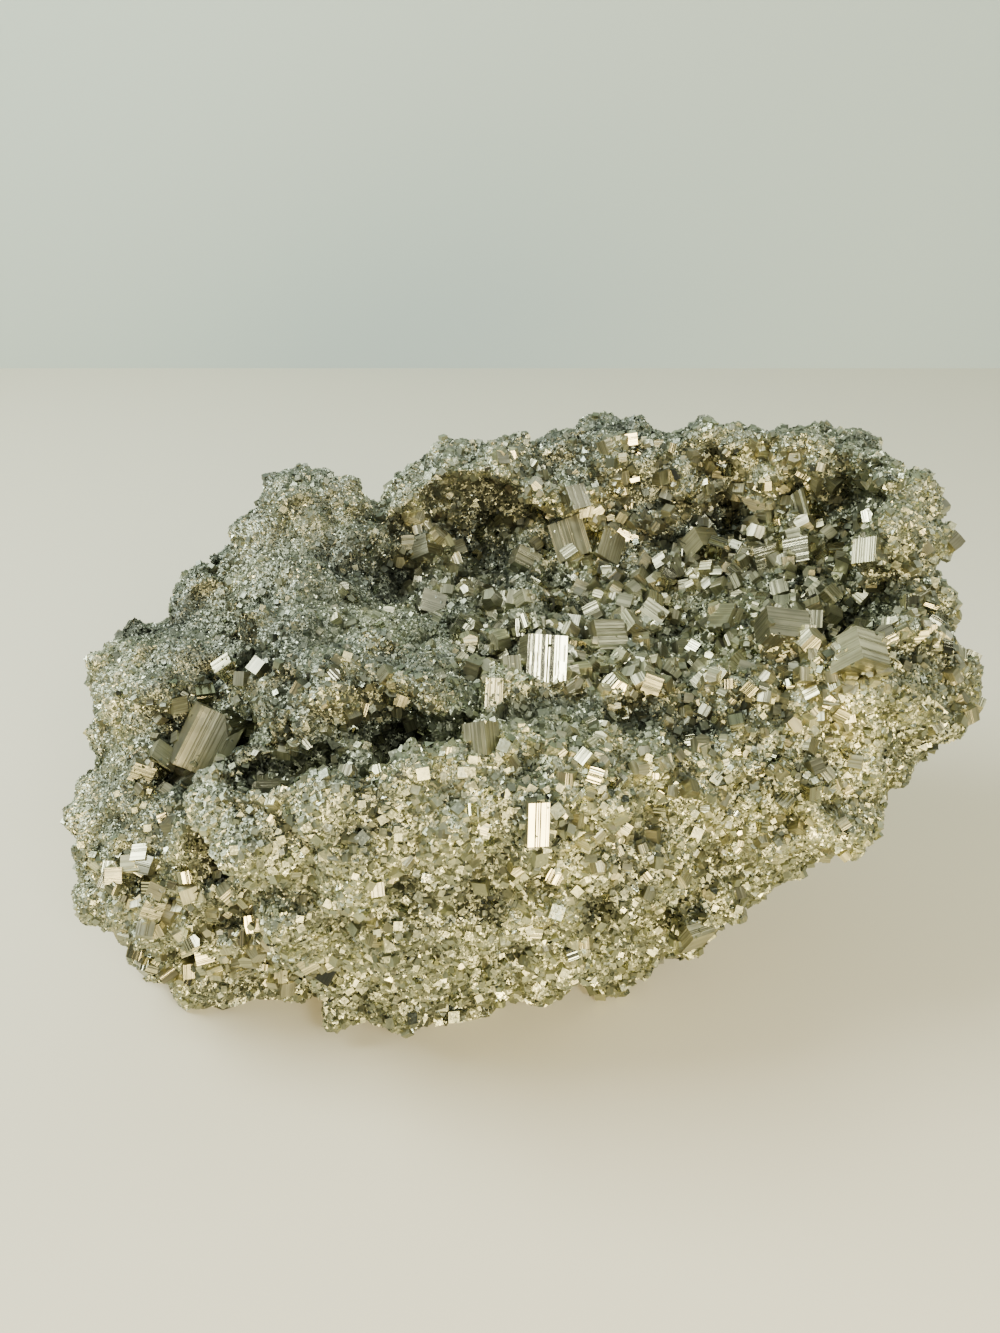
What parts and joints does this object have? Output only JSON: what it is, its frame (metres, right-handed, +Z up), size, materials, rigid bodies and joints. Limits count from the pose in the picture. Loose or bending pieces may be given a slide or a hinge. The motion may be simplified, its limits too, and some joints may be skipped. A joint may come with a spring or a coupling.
{
  "type": "pyrite crystal cluster",
  "caption": "Low, wide lump of intergrown pyrite: a basin of cubic crystals on top, sugary fine-grained flanks, and a flat broken underside that it stands on.",
  "frame": {"origin": "middle of the bounding box, at the plane of the flat underside", "axes": "+X along the cluster's length towards its raised end, +Y from the bulging side in front to the back ridge, +Z up from the underside"},
  "size_m": [0.12, 0.0832, 0.0705],
  "materials": {
    "pyrite": "natural pyrite: pale brass-grey metallic crystals, bright flat faces and striations among fine sugary grains"
  },
  "bodies": {
    "root": {"pyrite_cluster": "pyrite"}
  },
  "joints": []
}
